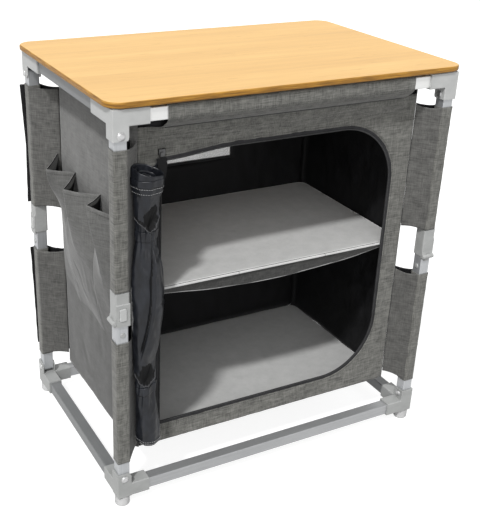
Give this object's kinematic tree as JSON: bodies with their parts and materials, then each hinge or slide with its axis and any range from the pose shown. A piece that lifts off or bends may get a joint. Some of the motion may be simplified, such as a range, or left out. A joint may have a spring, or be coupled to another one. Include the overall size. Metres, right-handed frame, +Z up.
{
  "type": "folding camping kitchen cupboard",
  "caption": "Folding camping cupboard: square-tube frame on mid-folding legs, lift-off worktop, hung fabric box with a shelf, side pockets and a rolled-up zip door.",
  "frame": {"origin": "on the floor, under the middle of the whole, rolled-up door included", "axes": "+X to the right along the front, +Y towards the back, +Z up; the front with the door opening faces -Y"},
  "size_m": [0.6, 0.409, 0.661],
  "materials": {
    "tube": "satin anodised",
    "connector": "fine matt",
    "hinge_plastic": "fine matt",
    "button": "fine matt",
    "rivet": "dull",
    "foot": "matt",
    "worktop": "pale bamboo, clear coat",
    "shelf_board": "fabric over a stiff board",
    "cupboard_fabric": "coated melange weave",
    "lining": "black coated lining",
    "webbing": "woven tape",
    "zip_metal": "polished"
  },
  "bodies": {
    "base": {"bottom_rail_front": "tube", "bottom_rail_back": "tube", "bottom_rail_left": "tube", "bottom_rail_right": "tube", "bottom_connector_front_left": "connector", "bottom_connector_front_right": "connector", "bottom_connector_back_right": "connector", "bottom_connector_back_left": "connector", "feet": "foot", "bottom_pivot_rivets": "rivet", "bottom_shelf": "shelf_board", "floor_panel": "lining", "front_panel": "cupboard_fabric", "back_panel": "cupboard_fabric", "left_panel": "cupboard_fabric", "right_panel": "cupboard_fabric", "rolled_door": "lining", "door_ties": "webbing", "side_pockets": "cupboard_fabric"},
    "lower_leg_front_left": {"lower_leg_front_left": "tube", "hinge_insert_front_left": "hinge_plastic", "lower_sleeve_front_left": "cupboard_fabric"},
    "lower_leg_front_right": {"lower_leg_front_right": "tube", "hinge_insert_front_right": "hinge_plastic", "lower_sleeve_front_right": "cupboard_fabric"},
    "lower_leg_back_right": {"lower_leg_back_right": "tube", "hinge_insert_back_right": "hinge_plastic", "lower_sleeve_back_right": "cupboard_fabric"},
    "lower_leg_back_left": {"lower_leg_back_left": "tube", "hinge_insert_back_left": "hinge_plastic", "lower_sleeve_back_left": "cupboard_fabric"},
    "upper_leg_front_left": {"upper_leg_front_left": "tube", "hinge_collar_front_left": "hinge_plastic", "upper_sleeve_front_left": "cupboard_fabric"},
    "upper_leg_front_right": {"upper_leg_front_right": "tube", "hinge_collar_front_right": "hinge_plastic", "upper_sleeve_front_right": "cupboard_fabric"},
    "upper_leg_back_right": {"upper_leg_back_right": "tube", "hinge_collar_back_right": "hinge_plastic", "upper_sleeve_back_right": "cupboard_fabric"},
    "upper_leg_back_left": {"upper_leg_back_left": "tube", "hinge_collar_back_left": "hinge_plastic", "upper_sleeve_back_left": "cupboard_fabric"},
    "top_frame": {"top_rail_front": "tube", "top_rail_back": "tube", "top_rail_left": "tube", "top_rail_right": "tube", "top_connector_front_left": "connector", "top_connector_front_right": "connector", "top_connector_back_right": "connector", "top_connector_back_left": "connector", "top_pivot_rivets": "rivet", "top_bands": "cupboard_fabric"},
    "latch_button_front_left": {"latch_button_front_left": "button"},
    "latch_button_front_right": {"latch_button_front_right": "button"},
    "latch_button_back_right": {"latch_button_back_right": "button"},
    "latch_button_back_left": {"latch_button_back_left": "button"},
    "table_top": {"table_top": "worktop"},
    "middle_shelf": {"middle_shelf": "shelf_board"},
    "zip_slider": {"zip_slider": "zip_metal"}
  },
  "joints": [
    {"name": "lower_leg_fold_front_left", "type": "hinge", "parent": "base", "child": "lower_leg_front_left", "pos_m": [-0.2805, -0.1755, 0.053], "axis": [0, 1, 0], "range_deg": [0, 86], "deforming": ["front_panel", "back_panel", "left_panel", "right_panel", "rolled_door", "door_ties", "side_pockets"]},
    {"name": "lower_leg_fold_front_right", "type": "hinge", "parent": "base", "child": "lower_leg_front_right", "pos_m": [0.2805, -0.1755, 0.053], "axis": [-1, 0, 0], "range_deg": [0, 89]},
    {"name": "lower_leg_fold_back_right", "type": "hinge", "parent": "base", "child": "lower_leg_back_right", "pos_m": [0.2805, 0.1885, 0.053], "axis": [0, -1, 0], "range_deg": [0, 89]},
    {"name": "lower_leg_fold_back_left", "type": "hinge", "parent": "base", "child": "lower_leg_back_left", "pos_m": [-0.2805, 0.1885, 0.053], "axis": [1, 0, 0], "range_deg": [0, 89]},
    {"name": "upper_leg_fold_front_left", "type": "hinge", "parent": "lower_leg_front_left", "child": "upper_leg_front_left", "pos_m": [-0.2925, -0.1755, 0.3335], "axis": [0, 1, 0], "range_deg": [-178, 0]},
    {"name": "upper_leg_fold_front_right", "type": "hinge", "parent": "lower_leg_front_right", "child": "upper_leg_front_right", "pos_m": [0.2805, -0.1875, 0.3335], "axis": [-1, 0, 0], "range_deg": [-178, 0]},
    {"name": "upper_leg_fold_back_right", "type": "hinge", "parent": "lower_leg_back_right", "child": "upper_leg_back_right", "pos_m": [0.2925, 0.1885, 0.3335], "axis": [0, -1, 0], "range_deg": [-178, 0]},
    {"name": "upper_leg_fold_back_left", "type": "hinge", "parent": "lower_leg_back_left", "child": "upper_leg_back_left", "pos_m": [-0.2805, 0.2005, 0.3335], "axis": [1, 0, 0], "range_deg": [-178, 0]},
    {"name": "top_frame_fold", "type": "hinge", "parent": "upper_leg_front_left", "child": "top_frame", "pos_m": [-0.2805, -0.1755, 0.614], "axis": [0, 1, 0], "range_deg": [0, 89]},
    {"name": "shelf_lowering", "type": "slide", "parent": "base", "child": "middle_shelf", "axis": [0, 0, -1], "range_m": [0, 0.25]},
    {"name": "latch_press_front_left", "type": "slide", "parent": "upper_leg_front_left", "child": "latch_button_front_left", "axis": [0, 1, 0], "range_m": [0, 0.0015], "stiffness_N_per_m": 900},
    {"name": "latch_press_front_right", "type": "slide", "parent": "upper_leg_front_right", "child": "latch_button_front_right", "axis": [-1, 0, 0], "range_m": [0, 0.0015], "stiffness_N_per_m": 900},
    {"name": "latch_press_back_right", "type": "slide", "parent": "upper_leg_back_right", "child": "latch_button_back_right", "axis": [0, -1, 0], "range_m": [0, 0.0015], "stiffness_N_per_m": 900},
    {"name": "latch_press_back_left", "type": "slide", "parent": "upper_leg_back_left", "child": "latch_button_back_left", "axis": [1, 0, 0], "range_m": [0, 0.0015], "stiffness_N_per_m": 900},
    {"name": "table_lift_off", "type": "slide", "parent": "top_frame", "child": "table_top", "axis": [0, 0, 1], "range_m": [0, 0.06]},
    {"name": "zip_slide", "type": "slide", "parent": "top_frame", "child": "zip_slider", "axis": [1, 0, 0], "range_m": [0, 0.29]}
  ],
  "couplings": [
    {"joint": "lower_leg_fold_front_right", "follows": "lower_leg_fold_front_left", "ratio": 1},
    {"joint": "lower_leg_fold_back_right", "follows": "lower_leg_fold_front_left", "ratio": 1},
    {"joint": "lower_leg_fold_back_left", "follows": "lower_leg_fold_front_left", "ratio": 1},
    {"joint": "upper_leg_fold_front_left", "follows": "lower_leg_fold_front_left", "ratio": -2},
    {"joint": "upper_leg_fold_front_right", "follows": "lower_leg_fold_front_left", "ratio": -2},
    {"joint": "upper_leg_fold_back_right", "follows": "lower_leg_fold_front_left", "ratio": -2},
    {"joint": "upper_leg_fold_back_left", "follows": "lower_leg_fold_front_left", "ratio": -2},
    {"joint": "top_frame_fold", "follows": "lower_leg_fold_front_left", "ratio": 1},
    {"joint": "shelf_lowering", "follows": "lower_leg_fold_front_left", "m_per_rad": 0.16189}
  ]
}
